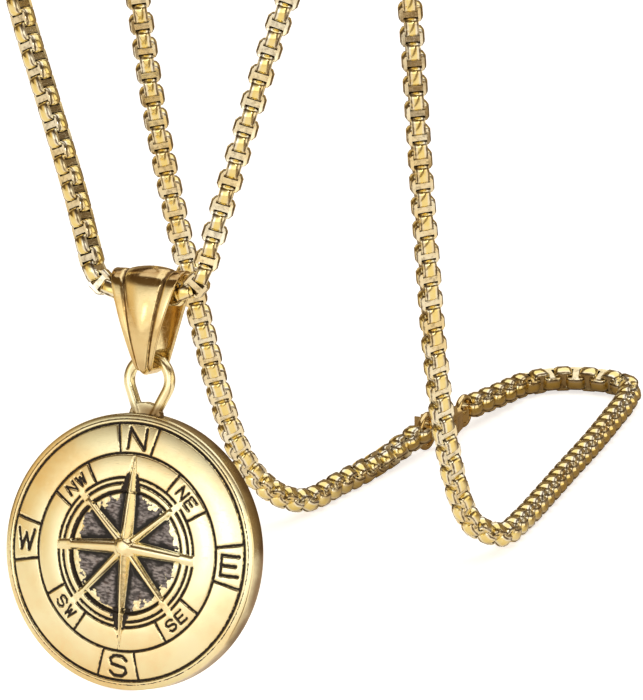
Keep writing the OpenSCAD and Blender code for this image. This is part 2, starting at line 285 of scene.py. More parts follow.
class SurfaceEffects:
    """The shader node groups that the finishes share."""

    def __init__(self) -> None:
        """Build each group once."""
        self.edge_wear = self._edge_wear()
        self.micro_scratches = self._micro_scratches()
        self.dust = self._dust()
        self.patina = self._patina()

    @staticmethod
    def _edge_wear() -> Tree:
        """Rubbed high places: a ragged mask from a height mask.

        Returns:
            The group.
        """
        nodes, into, out = start_effect("edge_wear", ("High", "Amount"))
        ragged = nodes.ramp(nodes.grain(into["Vector"], 0.0009), 0.30, 0.70, 0.35, 1.0)
        rubbed = nodes.combine("MULTIPLY", into["High"], ragged)
        nodes.give(nodes.combine("MULTIPLY", rubbed, into["Amount"], clamp=True), out["Mask"])
        return nodes.tree

    @staticmethod
    def _micro_scratches() -> Tree:
        """Fine scratches in two directions, as roughness and height.

        Returns:
            The group.
        """
        nodes, into, out = start_effect("micro_scratches", ("Amount",), ("Roughness", "Height"))
        one = nodes.grain(into["Vector"], 0.0009, 2.0, (1.0, 1.0, 14.0), (8.0, 24.0, 31.0))
        two = nodes.grain(into["Vector"], 0.0012, 2.0, (13.0, 1.0, 1.0), (40.0, 10.0, -22.0))
        lines = nodes.combine("MAXIMUM", nodes.ramp(one, 0.60, 0.68), nodes.ramp(two, 0.61, 0.69))
        smudge = nodes.ramp(nodes.grain(into["Vector"], 0.005), 0.35, 0.75, 0.0, 0.5)
        both = nodes.combine("ADD", lines, smudge)
        nodes.give(nodes.combine("MULTIPLY", both, into["Amount"]), out["Roughness"])
        nodes.give(nodes.combine("MULTIPLY", lines, -1.0), out["Height"])
        return nodes.tree

    @staticmethod
    def _dust() -> Tree:
        """Sparse specks of dust.

        Returns:
            The group.
        """
        nodes, into, out = start_effect("dust", ("Amount",))
        specks = nodes.ramp(nodes.grain(into["Vector"], 0.0003, 1.0), 0.70, 0.78)
        fields = nodes.ramp(nodes.grain(into["Vector"], 0.006, 2.0), 0.45, 0.65)
        sparse = nodes.combine("MULTIPLY", specks, fields)
        nodes.give(nodes.combine("MULTIPLY", sparse, into["Amount"]), out["Mask"])
        return nodes.tree

    @staticmethod
    def _patina() -> Tree:
        """Dark tone by a recess value, ragged at its edge: painted shade in recesses, and a random patina where the
        value is noise.

        Returns:
            The group.
        """
        nodes, into, out = start_effect("patina", ("Recess", "Amount"))
        ragged = nodes.ramp(nodes.grain(into["Vector"], 0.0005), 0.25, 0.75, -0.22, 0.22)
        deep = nodes.ramp(nodes.combine("ADD", into["Recess"], ragged), 0.30, 0.95)
        nodes.give(nodes.combine("MULTIPLY", deep, into["Amount"], clamp=True), out["Mask"])
        return nodes.tree


@dataclass(frozen=True)
class MetalPaint:
    """Builds the metal materials from the finishes."""

    effects: SurfaceEffects

    @staticmethod
    def _start(finish: Finish, suffix: str) -> tuple:
        """Start a material with its shader and the place on the piece.

        Args:
            finish: Finish that names the material.
            suffix: Added to the finish's name.

        Returns:
            The material, its wiring, its shader and the place's socket.
        """
        material = bpy.data.materials.new(finish.name + suffix)
        material.use_nodes = True
        nodes = Wiring(material.node_tree)
        shader = material.node_tree.nodes["Principled BSDF"]
        shader.inputs["Metallic"].default_value = 1.0
        material.diffuse_color = (*finish.bright, 1.0)
        return material, nodes, shader, nodes.add("ShaderNodeTexCoord")["Object"]

    def _rub(self, nodes: Wiring, finish: Finish, place: Socket, colour: Socket, high: Socket, lift: float) -> Socket:
        """Brighten the rubbed high places to the finish's bright colour times a lift."""
        worn = nodes.effect(self.effects.edge_wear, place, High=high, Amount=finish.wear)["Mask"]
        return nodes.blend(worn, colour, tuple(min(1.0, c * lift) for c in finish.bright))

    def _finish(self, nodes: Wiring, shader: bpy.types.Node, finish: Finish, place: Socket, colour: Socket,
                rough: Socket, height: Socket | None = None) -> None:
        """Add scratches and dust, and wire the shader.

        Args:
            nodes: Wiring of the material.
            shader: Its shader.
            finish: Finish that gives the amounts.
            place: Place on the piece.
            colour: Colour so far.
            rough: Roughness so far.
            height: Height to add to the scratches, if any.
        """
        scratches = nodes.effect(self.effects.micro_scratches, place, Amount=finish.scratch)
        dust = nodes.effect(self.effects.dust, place, Amount=finish.dust)["Mask"]
        relief = nodes.combine("MULTIPLY", scratches["Height"], SCRATCH_HEIGHT)
        if height is not None:
            relief = nodes.combine("ADD", relief, height)
        bump = nodes.add("ShaderNodeBump", {"Strength": BUMP, "Distance": BUMP_DEPTH, "Height": relief})
        nodes.give(nodes.blend(dust, colour, DUST), shader.inputs["Base Color"])
        nodes.give(nodes.combine("ADD", rough, scratches["Roughness"], clamp=True), shader.inputs["Roughness"])
        nodes.give(bump["Normal"], shader.inputs["Normal"])

    def gold(self, finish: Finish, layered: bool = True) -> bpy.types.Material:
        """Make a polished gold with painted shade in its recesses.

        The recess layer is 1 in a recess, where it paints shade, 0 on a high place and -1 where the finish's painted
        reflection tone shows.

        Args:
            finish: Colours, polish, painted shade and painted reflection tone.
            layered: Whether the pieces carry the recess layer.

        Returns:
            The material.
        """
        material, nodes, shader, place = self._start(finish, "" if layered else "_plain")
        cloud = nodes.ramp(nodes.grain(place, finish.cloud_size, 3.0), 0.35, 0.70, 0.0, 0.85)
        colour = nodes.blend(cloud, finish.bright, finish.warm)
        if layered:
            recess = nodes.add("ShaderNodeAttribute", attribute_name=Layer.RECESS.value)["Fac"]
            # Painted reflection tone: deep yellow on the links' broad faces, dark brown on the bail's crest
            colour = nodes.blend(nodes.ramp(recess, 0.0, -1.0), colour, finish.reflection_tone)
        else:
            recess = nodes.ramp(nodes.grain(place, 0.0016, 3.0), 0.50, 0.80, 0.0, 0.55)
        # Painted shade where the recess layer is high; a random patina where the recess is noise
        dark = nodes.effect(self.effects.patina, place, Recess=recess, Amount=finish.age)["Mask"]
        colour = self._rub(nodes, finish, place, colour, nodes.ramp(recess, 0.25, 0.0), 1.06)
        colour = nodes.blend(dark, colour, finish.shade)
        rough = nodes.ramp(dark, 0.0, 1.0, finish.roughness, finish.roughness + RECESS_ROUGHER)
        self._finish(nodes, shader, finish, place, colour, rough)
        return material

    def engraved(self, finish: Finish, black: Blackening) -> bpy.types.Material:
        """Make the medallion's gold, with its blackened lines and scratched dark ground, painted shadow beside the
        star's arms, and a painted dark reflection and shade on its side wall and loop's web.

        The relief layer holds, in millimetres, the way to the nearest line, into the ground and to the nearest arm of
        the star. The ground value falls far below zero on the side wall and the loop's web, where it paints dark
        reflection and shade.

        Args:
            finish: Colours and polish, and the shade colour of the painted side wall and loop web.
            black: Colours of the lines, the ground and the painted shadow beside the arms.

        Returns:
            The material.
        """
        material, nodes, shader, place = self._start(finish, "")
        layer = nodes.add("ShaderNodeAttribute", attribute_name=Layer.RELIEF.value)["Vector"]
        split = nodes.add("ShaderNodeSeparateXYZ", {"Vector": layer})
        line, ground, arm = (split[axis] for axis in "XYZ")

        cloud = nodes.ramp(nodes.grain(place, finish.cloud_size, 3.0), 0.38, 0.66, 0.0, 0.9)
        colour = nodes.blend(cloud, finish.bright, finish.warm)
        colour = self._rub(nodes, finish, place, colour, nodes.ramp(line, 0.02, 0.3), 1.05)

        # Painted dark reflection on the side wall and painted shade on the loop's web, in the shade colour, by the
        # ground value
        streak = nodes.ramp(nodes.grain(place, 0.0035, 3.0), 0.3, 0.7, -3.0, 3.0)
        side = nodes.ramp(nodes.combine("ADD", ground, streak), -14.0, -32.0, 0.0, 0.95)
        colour = nodes.blend(side, colour, finish.shade)

        jag = nodes.ramp(nodes.grain(place, 0.0010, 3.0), 0.25, 0.75, -0.75, 0.65)
        fleck = nodes.ramp(nodes.grain(place, 0.00024, 2.0), 0.25, 0.75, -0.16, 0.16)
        ragged = nodes.combine("ADD", nodes.combine("ADD", ground, jag), fleck)
        floor = nodes.combine("MINIMUM", nodes.ramp(ragged, -0.04, 0.10), nodes.ramp(arm, -0.02, 0.06))
        hatch = nodes.grain(place, 0.0006, 4.0, (1.0, 1.0, 2.4), (0.0, 35.0, 0.0))
        slate = nodes.blend(nodes.ramp(hatch, 0.38, 0.66), black.slate, black.scratched)
        brown = nodes.ramp(nodes.grain(place, 0.0014, 2.0), 0.55, 0.75, 0.0, 0.55)
        slate = nodes.blend(brown, slate, black.rust)
        # Painted shadow: near-black beside the star's arms
        shadow_by_arm = nodes.ramp(nodes.combine("ADD", arm, nodes.combine("MULTIPLY", jag, 0.30)), 0.90, 0.30)
        slate = nodes.blend(shadow_by_arm, slate, black.arm_shadow)
        colour = nodes.blend(floor, colour, slate)

        rough_line = nodes.ramp(nodes.grain(place, 0.00035, 3.0), 0.25, 0.75, -0.045, 0.045)
        cut = nodes.ramp(nodes.combine("ADD", line, rough_line), 0.035, -0.025)
        colour = nodes.blend(cut, colour, black.line)

        dark = nodes.combine("MAXIMUM", floor, cut)
        nodes.give(nodes.ramp(dark, 0.0, 1.0, 1.0, black.metal), shader.inputs["Metallic"])
        rough = nodes.ramp(dark, 0.0, 1.0, finish.roughness, black.roughness)
        self._finish(nodes, shader, finish, place, colour, rough, nodes.combine("MULTIPLY", hatch, dark))
        return material


def add_object(name: str, data: bpy.types.ID) -> Piece:
    """Put an object in the scene.

    Args:
        name: Name of the object.
        data: Its mesh, lamp or camera.

    Returns:
        The object.
    """
    piece = bpy.data.objects.new(name, data)
    bpy.context.scene.collection.objects.link(piece)
    return piece


def set_layer(mesh: bpy.types.Mesh, name: Layer, values: np.ndarray) -> None:
    """Give each point of a mesh a number or a vector.

    Args:
        mesh: Mesh that takes the layer.
        name: Name of the layer.
        values: Number or vector of each point.
    """
    kind, label = ("FLOAT_VECTOR", "vector") if values.ndim == 2 else ("FLOAT", "value")
    data = mesh.attributes.new(name.value, kind, "POINT")
    data.data.foreach_set(label, values.astype(np.float32).ravel())


@dataclass
class Workshop:
    """Makes plain meshes from tables of points."""

    material: bpy.types.Material

    def make(self, name: str, points: np.ndarray, faces: list, layer: np.ndarray | None = None,
             layer_name: Layer = Layer.RECESS, sharp_angle: float | None = None) -> Piece:
        """Make a closed piece from points and faces.

        Args:
            name: Name of the piece.
            points: Places in metres, one row each.
            faces: Point numbers of each face.
            layer: Value or vector of each point for the material, if any.
            layer_name: Name of that layer.
            sharp_angle: Angle in degrees past which an edge stays sharp, if any.

        Returns:
            The piece.
        """
        mesh = bpy.data.meshes.new(name)
        mesh.from_pydata([tuple(p) for p in points], [], faces)
        if layer is not None:
            set_layer(mesh, layer_name, layer)
        shape = bmesh.new()
        shape.from_mesh(mesh)
        bmesh.ops.recalc_face_normals(shape, faces=shape.faces)
        if shape.calc_volume(signed=True) < 0:
            bmesh.ops.reverse_faces(shape, faces=shape.faces)
        shape.to_mesh(mesh)
        shape.free()
        mesh.shade_smooth()
        if sharp_angle is not None:
            mesh.set_sharp_from_angle(angle=math.radians(sharp_angle))
        mesh.materials.append(self.material)
        return add_object(name, mesh)


def loop_faces(rows: int, cols: int) -> Faces:
    """Join rows of points into a tube that closes on itself."""
    return [(i * cols + j, i * cols + (j + 1) % cols, (i + 1) % rows * cols + (j + 1) % cols, (i + 1) % rows * cols + j)
            for i in range(rows) for j in range(cols)]


def ring_faces(rows: list[int]) -> Faces:
    """Join rings of points, each with as many points as the last, half or double, and close both ends.

    Args:
        rows: Number of points in each ring, in order, 1 at the first and last.

    Returns:
        The faces.
    """
    faces: Faces = []
    start = 0
    for here, there in zip(rows, rows[1:]):
        a, b = start, start + here
        if here == 1:
            faces += [(a, b + (k + 1) % there, b + k) for k in range(there)]
        elif there == 1:
            faces += [(a + k, a + (k + 1) % here, b) for k in range(here)]
        elif here == there:
            faces += [(a + k, a + (k + 1) % here, b + (k + 1) % here, b + k) for k in range(here)]
        else:
            few, many, (f, m) = (a, b, (here, there)) if there > here else (b, a, (there, here))
            for k in range(f):
                one, two = few + k, few + (k + 1) % f
                first, middle, last = many + 2 * k, many + 2 * k + 1, many + (2 * k + 2) % m
                faces += [(one, middle, first), (one, two, middle), (two, last, middle)]
        start += here
    return faces


def circle(r: float, n: int) -> np.ndarray:
    """Points round a circle, clockwise from its top."""
    a = np.arange(n) * 2.0 * math.pi / n
    return np.stack([r * np.sin(a), r * np.cos(a)], axis=1)


def turned(spot: Point2, angle: float) -> Point2:
    """Turn a place clockwise about the middle by an angle in degrees."""
    c, s = math.cos(math.radians(angle)), math.sin(math.radians(angle))
    return spot[0] * c + spot[1] * s, spot[1] * c - spot[0] * s


def ways_ahead(points: np.ndarray) -> np.ndarray:
    """Direction of a line at each of its points."""
    ahead = np.gradient(points, axis=0)
    return ahead / np.linalg.norm(ahead, axis=1)[:, None]


def smooth_step(value: np.ndarray, low: float, high: float) -> np.ndarray:
    """Rise smoothly from 0 at low to 1 at high."""
    t = np.clip((value - low) / (high - low), 0.0, 1.0)
    return t * t * (3.0 - 2.0 * t)


def placed(points: np.ndarray, frame: Matrix) -> np.ndarray:
    """Move points from millimetres in a piece's own frame to metres in the scene."""
    turn = np.array(frame.to_3x3())
    return (points * MM) @ turn.T + np.array(frame.to_translation())


def coin_frame() -> Matrix:
    """The medallion's frame: x to its right, y up its face, z out of its front."""
    return Matrix.Translation(COIN_AT) @ Matrix.Rotation(math.radians(90.0 - COIN_LEAN), 4, "X")


def bail_frame() -> Matrix:
    """Work out the bail's frame, from the wire that it holds.

    Returns:
        The frame: x across, y up, z out of its front.
    """
    lean = math.radians(COIN_LEAN)
    hang = Vector(COIN_AT) + HANG_UP * Vector((0.0, math.sin(lean), math.cos(lean)))
    turn = Matrix.Rotation(math.radians(90.0 - BAIL_LEAN), 4, "X") @ Matrix.Rotation(math.radians(BAIL_ROLL), 4, "Z")
    return Matrix.Translation(hang) @ turn


class MarkSize(Enum):
    """Width and height of a compass letter, and half its stroke, in millimetres."""

    MAIN = (2.2, 2.4, 0.175)
    SMALL = (1.05, 1.3, 0.125)


# Strokes of the compass letters, in a box one wide and one high
LETTERS: dict[str, tuple[tuple[Point2, ...], ...]] = {
    "N": (((0, 0), (0, 1), (1, 0), (1, 1)),),
    "E": (((1, 0), (0, 0), (0, 1), (1, 1)), ((0, 0.5), (0.85, 0.5))),
    "W": (((0, 1), (0.25, 0), (0.5, 0.8), (0.75, 0), (1, 1)),),
    "S": (((1, 0.8), (0.75, 1), (0.25, 1), (0, 0.8), (0.1, 0.58), (0.9, 0.42), (1, 0.2), (0.75, 0),
           (0.25, 0), (0, 0.2)),),
}


@dataclass(frozen=True)
class Arm:
    """One arm of the compass star, in millimetres: turn in degrees, reach, half widths, taper and height.

    The gap is half the break that the arm makes in the rings, 0 for the arms that the rings run up to.
    """

    turn: float
    tip: float
    half: float
    tip_half: float
    taper: float
    rise: float
    gap: float
    hub: float = 1.1

    def half_at(self, along: np.ndarray) -> np.ndarray:
        """Half the arm's width at places along it."""
        part = np.clip((along - self.hub) / (self.tip - self.hub), 0.0, 1.0)
        return self.half + (self.tip_half - self.half) * part**self.taper


@dataclass
class Medallion:
    """The domed compass medallion with its loop, sizes in millimetres."""

    radius: float = 16.62
    edge: float = 0.4
    half_thick: float = 1.55
    rim: tuple[Point2, ...] = ((15.72, 0.02), (15.82, 0.035), (15.9, 0.02), (15.98, -0.05), (16.06, -0.07))
    groove_r: float = 15.98
    dome_ball: float = 91.0
    dome_top: float = 2.88
    dome_r: float = 15.7
    line_half: float = 0.145
    line_depth: float = 0.22
    ring_lines: tuple[float, ...] = (15.46, 11.9, 9.0, 8.35)
    ring_halves: tuple[float, ...] = (0.155, 0.165, 0.21)
    crown: float = 0.08
    letters_r: float = 13.7
    small_letters_at: Point2 = (0.82, 10.45)
    panel: tuple[Point2, Point2] = ((2.0, 11.75), (2.75, 15.2))
    small_panel: tuple[Point2, Point2] = ((2.2, 8.8), (2.76, 11.55))
    wall_r: float = 7.4
    ground_r: float = 6.6
    ground_depth: float = 0.34
    ground_rough: float = 0.035
    loop_r: float = 2.7
    loop_wire: float = 0.69
    loop_up: float = 20.7
    loop_open: float = 25.0
    leg: float = 3.4
    web: tuple[Point2, ...] = ((-2.35, 15.7), (2.35, 15.7), (2.0, 17.0), (1.45, 17.65), (0.75, 17.95), (0.0, 18.05),
                               (-0.75, 17.95), (-1.45, 17.65), (-2.0, 17.0))
    web_half: float = 0.56
    most: int = 640
    star_up: float = 0.7
    boss_r: float = 0.95
    boss_up: float = 0.78
    boss_clear: float = 0.85
    arms: tuple[Arm, ...] = (
        *(Arm(t, 8.15, 0.48, 0.30, 1.0, 0.35, 0.44) for t in (45, 135, 225, 315)),
        *(Arm(t, 9.2, 0.84, 0.46, 1.4, 0.62, 0.66) for t in (90, 270)),
        Arm(0, 11.7, 0.80, 0.05, 2.0, 0.72, 0.0), Arm(180, 11.7, 0.72, 0.05, 1.3, 0.72, 0.0),
    )
    # First radius, last radius, step and share of the points of the star's rings, then the plain spans further out
    star_spans: tuple[tuple[float, float, float, int], ...] = (
        (0.12, 1.0, 0.13, 8), (1.02, 2.6, 0.11, 4), (2.62, 7.1, 0.105, 2))
    plain_spans: tuple[Point3, ...] = (
        (7.7, 8.1, 0.1), (8.62, 8.78, 0.08), (9.3, 9.6, 0.15), (9.68, 11.25, 0.087), (11.4, 11.65, 0.15),
        (12.2, 12.45, 0.15), (12.5, 14.95, 0.094), (15.05, 15.2, 0.14))
    beside_line: tuple[float, ...] = (-0.2, -0.14, -0.08, 0.0, 0.08, 0.14, 0.2)

    def face_z(self, r: np.ndarray | float) -> np.ndarray | float:
        """Height of the bare dome at a radius."""
        return self.dome_top - self.dome_ball + np.sqrt(self.dome_ball**2 - np.square(r))

    def strokes(self) -> np.ndarray:
        """List the engraved strokes, but for the rings.

        Returns:
            The two ends of each stroke and half its width, one row each.
        """
        lines: list[tuple[float, ...]] = []

        def add(turn: float, ends: tuple[Point2, Point2], half: float) -> None:
            """Turn a stroke clockwise and keep it with half its width."""
            lines.append((*turned(ends[0], turn), *turned(ends[1], turn), half))

        def letter(turn: float, name: str, size: MarkSize, at: Point2, lean: float) -> None:
            """Lay a letter's strokes.

            Args:
                turn: Turn of the panel in degrees.
                name: The letter.
                size: Its size.
                at: Place of its middle in the panel.
                lean: Turn of the letter in its panel in degrees.
            """
            w, h, thick = size.value
            for stroke in LETTERS[name]:
                spots = [turned(((x - 0.5) * w, (y - 0.5) * h), -lean) for x, y in stroke]
                spots = [(x + at[0], y + at[1]) for x, y in spots]
                for pair in zip(spots, spots[1:]):
                    add(turn, pair, thick)

        for turn, name in ((0, "N"), (90, "E"), (180, "S"), (270, "W")):
            letter(turn, name, MarkSize.MAIN, (0.0, self.letters_r), turn)
            for side in (-1, 1):
                add(turn, tuple((side * a, b) for a, b in self.panel), self.line_half)
        for turn, pair in ((45, "NE"), (135, "SE"), (225, "SW"), (315, "NW")):
            lean = 0.0 if math.cos(math.radians(turn)) > 0 else 180.0
            for side, name in zip((-1, 1), pair):
                right, up = self.small_letters_at
                letter(turn, name, MarkSize.SMALL, (side * right * math.cos(math.radians(lean)), up), lean)
                add(turn, tuple((side * a, b) for a, b in self.small_panel), self.line_half)
        return np.array(lines)

    def line_distance(self, x: np.ndarray, y: np.ndarray, r: np.ndarray) -> np.ndarray:
        """Way from each place to the edge of the nearest engraved line, less than 0 in it.

        Args:
            x: Places to the right.
            y: Places up.
            r: Radii.

        Returns:
            The distances.
        """
        nearest = np.full(x.shape, 1.0)
        for ax, ay, bx, by, half in self.strokes():
            dx, dy = bx - ax, by - ay
            t = np.clip(((x - ax) * dx + (y - ay) * dy) / (dx * dx + dy * dy), 0.0, 1.0)
            nearest = np.minimum(nearest, np.hypot(x - ax - t * dx, y - ay - t * dy) - half)
        broken = np.full(x.shape, -1.0)
        for arm in self.arms:
            along, across = self.in_arm(arm, x, y)
            if arm.gap:
                broken = np.maximum(broken, np.where(along > 0, arm.gap - np.abs(across), -1.0))
            else:
                spread = np.interp(along, (7.2, 9.3, 9.5, arm.tip), (0.75, 0.42, 0.07, 0.05))
                beside = np.abs(across) - arm.half_at(along) - spread
                nearest = np.minimum(nearest, np.maximum(beside, np.maximum(7.0 - along, along - arm.tip)))
        for ring in self.ring_lines[:2]:
            nearest = np.minimum(nearest, np.abs(r - ring) - self.line_half)
        for ring, half in zip((*self.ring_lines[2:], self.wall_r - 0.02), self.ring_halves):
            nearest = np.minimum(nearest, np.maximum(np.abs(r - ring) - half, broken))
        return np.minimum(nearest, np.abs(r - self.groove_r) - 0.02)

    def reach(self, arm: Arm) -> tuple[float, float]:
        """Way right and up from the star's middle to an arm's tip."""
        turn = math.radians(arm.turn)
        return arm.tip * math.sin(turn), arm.tip * math.cos(turn) - self.star_up

    def in_arm(self, arm: Arm, x: np.ndarray, y: np.ndarray) -> tuple[np.ndarray, np.ndarray]:
        """Measure places along and across an arm, from the star's middle.

        Args:
            arm: The arm.
            x: Places to the right.
            y: Places up.

        Returns:
            The ways along it, stretched so that its tip is at arm.tip, and across it.
        """
        right, up = self.reach(arm)
        length = math.hypot(right, up)
        s, c, y = right / length, up / length, y - self.star_up
        return (x * s + y * c) * arm.tip / length, x * c - y * s

    def relief(self, x: np.ndarray, y: np.ndarray) -> tuple[np.ndarray, np.ndarray]:
        """Work out the height of the face and what its material needs.

        Args:
            x: Places to the right.
            y: Places up.

        Returns:
            The heights, and the ways to the lines, into the ground and to the arms.
        """
        r = np.hypot(x, y)
        line = self.line_distance(x, y, r)
        z = self.face_z(r)
        z = z - self.ground_depth * smooth_step(r, self.wall_r + 0.04, self.wall_r - 0.12)
        z = z - self.line_depth * smooth_step(line, 0.06, -0.08) * (r < self.dome_r)
        for high, low in zip(self.ring_lines[:2], self.ring_lines[1:3]):
            z = z + self.crown * np.clip(1.0 - ((r - (low + high) / 2) / ((high - low) / 2)) ** 2, 0.0, 1.0)
        rough = np.array([noise.fractal(Vector((a * 2.1, b * 2.1, 0.4)), 0.6, 2.2, 3) for a, b in zip(x, y)])
        z = z + np.where(r < self.wall_r - 0.2, self.ground_rough * rough, 0.0)
        ground = self.ground_r - r + 1.2 * smooth_step(np.abs(x), 1.8, 1.0)
        beside = np.full(x.shape, 2.0)
        for arm in self.arms:
            along, across = self.in_arm(arm, x, y)
            half = arm.half_at(along)
            out = np.clip(along / arm.tip, 0.0, 1.0)
            rise = np.interp(out, (0.0, 0.85, 1.0), (arm.rise, 0.15, 0.15 if arm.gap else 0.04))
            ridge = self.face_z(r) + rise
            edge = np.maximum(np.abs(across) - half, along - arm.tip)
            edge = np.where(along < 0, np.hypot(along, across) - arm.half, edge)
            blunt = smooth_step(arm.tip - along, 0.0, 0.35)
            round_to, steep = (2.1, 0.62) if arm.gap else (1.2, 0.9)
            section = np.clip(1.0 - (np.abs(across) / half) ** round_to, 0.0, 1.0) ** steep
            section = section * np.where(along >= 0, blunt, 0.0)
            z = np.maximum(z, z + (ridge - z) * section)
            beside = np.minimum(beside, edge)
        middle = np.hypot(x, y - self.star_up)
        boss = np.clip(1.0 - (middle / self.boss_r) ** 2, 0.0, 1.0) ** 0.5
        z = np.maximum(z, z + (self.dome_top + self.boss_up - z) * boss)
        beside = np.minimum(beside, middle - self.boss_clear)
        line = np.where(beside < 0.02, np.maximum(line, 0.3), line)
        return z, np.stack([line, ground, beside], axis=1)

    def rings(self) -> list[tuple[float, int]]:
        """List the rings of points on the face, out to its rim.

        Returns:
            The radius and count of points of each.
        """
        star = [(float(r), self.most // share)
                for low, high, step, share in self.star_spans for r in np.arange(low, high, step)]
        radii: set[float] = {7.15}
        for ring in (*self.ring_lines, self.wall_r):
            radii |= {round(ring + d, 3) for d in self.beside_line}
        for low, high, step in self.plain_spans:
            radii |= {round(v, 3) for v in np.arange(low, high, step)}
        return star + [(r, self.most) for r in sorted(radii)]

    def build_coin(self, shop: Workshop) -> Piece:
        """Build the face, rim, side and back as one closed shell.

        Args:
            shop: Makes the mesh.

        Returns:
            The coin.
        """
        rows, spots = [1], [np.zeros((1, 2))]
        for r, n in self.rings():
            spots.append(circle(r, n))
            rows.append(n)
        flat = np.concatenate(spots)
        z, layer = self.relief(flat[:, 0], flat[:, 1])
        points = [np.column_stack([flat, z])]
        layers = [layer]
        n = self.most // 2
        mid, up = self.radius - self.edge, self.half_thick - self.edge
        front, back = np.radians((52, 38, 25, 12, 0)), np.radians((0, -14, -30, -50, -70, -90))
        rims = [(r, self.half_thick + above) for r, above in self.rim]
        rims += [(mid + self.edge * math.cos(a), up + self.edge * math.sin(a)) for a in front]
        rims += [(self.radius, up / 2), (self.radius, -up / 2)]
        rims += [(mid + self.edge * math.cos(a), -up + self.edge * math.sin(a)) for a in back]
        rims += [(r, -self.half_thick) for r in (14.5, 11.0, 7.0, 3.0)]
        for r, height in rims:
            points.append(np.column_stack([circle(r, n), np.full(n, height)]))
            fine = abs(r - self.groove_r) - 0.03 if height > 0 else 1.0
            # Ground values far below zero paint the side wall dark, a painted reflection
            wall = np.interp(height, (-1.4, -1.2, 0.0, 1.15, 1.3), (-5.0, -32.0, -27.0, -19.0, -5.0))
            layers.append(np.tile([fine, wall, PLAIN[2]], (n, 1)))
            rows.append(n)
        points.append(np.array([[0.0, 0.0, -self.half_thick]]))
        layers.append(np.array([PLAIN]))
        rows.append(1)
        every = placed(np.concatenate(points), coin_frame())
        return shop.make("medallion_coin", every, ring_faces(rows), np.concatenate(layers), Layer.RELIEF)

    def build_loop(self, shop: Workshop) -> Piece:
        """Build the loop of wire with its two legs and the web between them, fused like soldered metal.

        Args:
            shop: Makes the mesh.

        Returns:
            The loop.
        """
        turn, sides = math.radians(self.loop_open), 20
        arc = [(self.loop_r * math.cos(a), self.loop_up + self.loop_r * math.sin(a))
               for a in np.linspace(math.pi + turn, -turn, 49)]
        foot = (arc[-1][0] - math.sin(turn) * self.leg, arc[-1][1] - math.cos(turn) * self.leg)
        path = np.array([(-foot[0], foot[1]), *arc, foot])
        points, rows = [np.array([[*path[0], 0.0]])], [1]
        for (x, y), (dx, dy) in zip(path, ways_ahead(path)):
            a = np.arange(sides) * 2.0 * math.pi / sides
            c, s = np.cos(a) * self.loop_wire, np.sin(a) * self.loop_wire
            points.append(np.column_stack([x - dy * c, y + dx * c, s]))
            rows.append(sides)
        points.append(np.array([[*path[-1], 0.0]]))
        rows.append(1)
        ring = shop.make("loop_wire", placed(np.concatenate(points), coin_frame()), ring_faces(rows))
        count = len(self.web)
        web = [(x, y, z) for z in (-self.web_half, self.web_half) for x, y in self.web]
        faces = [tuple(range(count)), tuple(range(2 * count - 1, count - 1, -1))]
        faces += [(k, k + count, (k + 1) % count + count, (k + 1) % count) for k in range(count)]
        plate = shop.make("loop_web", placed(np.array(web), coin_frame()), faces)
        return fuse(ring, [plate], voxel=0.0001, rounds=3)

    def build(self, shop: Workshop) -> Piece:
        """Build the whole medallion and dress it.

        Args:
            shop: Makes the meshes with the medallion's gold.

        Returns:
            The medallion.
        """
        coin, loop = self.build_coin(shop), self.build_loop(shop)
        count = len(loop.data.vertices)
        here = np.empty(count * 3)
        loop.data.vertices.foreach_get("co", here)
        local = (here.reshape(-1, 3) - np.array(COIN_AT)) @ np.array(coin_frame().to_3x3()) / MM
        layer = np.tile(PLAIN, (count, 1))
        layer[:, 0] = np.clip(np.hypot(local[:, 0], local[:, 1]) - self.radius - 0.02, 0.0, 1.0)
        # Painted shade on the loop's web and the feet of its legs, towards the coin
        layer[:, 1] = PLAIN[1] - 22.0 * smooth_step(local[:, 1], 19.2, 17.0)
        set_layer(loop.data, Layer.RELIEF, layer)
        whole = join("compass_medallion", [coin, loop])
        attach(whole, "medallion")
        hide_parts("medallion")
        return whole


def join(name: str, pieces: list[Piece]) -> Piece:
    """Put several closed shells in one object.

    Args:
        name: Name of the whole.
        pieces: Objects to join, which go.

    Returns:
        The whole.
    """
    with bpy.context.temp_override(active_object=pieces[0], selected_objects=pieces,
                                   selected_editable_objects=pieces, object=pieces[0]):
        bpy.ops.object.join()
    pieces[0].name = pieces[0].data.name = name
    return pieces[0]


def fuse(first: Piece, others: list[Piece], voxel: float, rounds: int) -> Piece:
    """Fuse overlapping shells into one, with soft fillets between them.

    Args:
        first: Object that stays.
        others: Objects that go into it.
        voxel: Size of the fused mesh's faces in metres.
        rounds: Rounds of smoothing.

    Returns:
        The fused object.
    """
    whole = join(first.name, [first, *others])
    remesh = whole.modifiers.new("fuse", "REMESH")
    remesh.mode = "VOXEL"
    remesh.voxel_size = voxel
    remesh.use_smooth_shade = True
    smooth = whole.modifiers.new("soften", "SMOOTH")
    smooth.factor = 0.5
    smooth.iterations = rounds
    return settle(whole)


def settle(piece: Piece) -> Piece:
    """Turn an object's modifiers into its plain mesh.

    Args:
        piece: Object with modifiers.

    Returns:
        The same object, with none.
    """
    graph = bpy.context.evaluated_depsgraph_get()
    material = piece.data.materials[0] if piece.data.materials else None
    mesh = bpy.data.meshes.new_from_object(piece.evaluated_get(graph), preserve_all_data_layers=True, depsgraph=graph)
    piece.modifiers.clear()
    piece.data = mesh
    if material is not None and not mesh.materials:
        mesh.materials.append(material)
    return piece


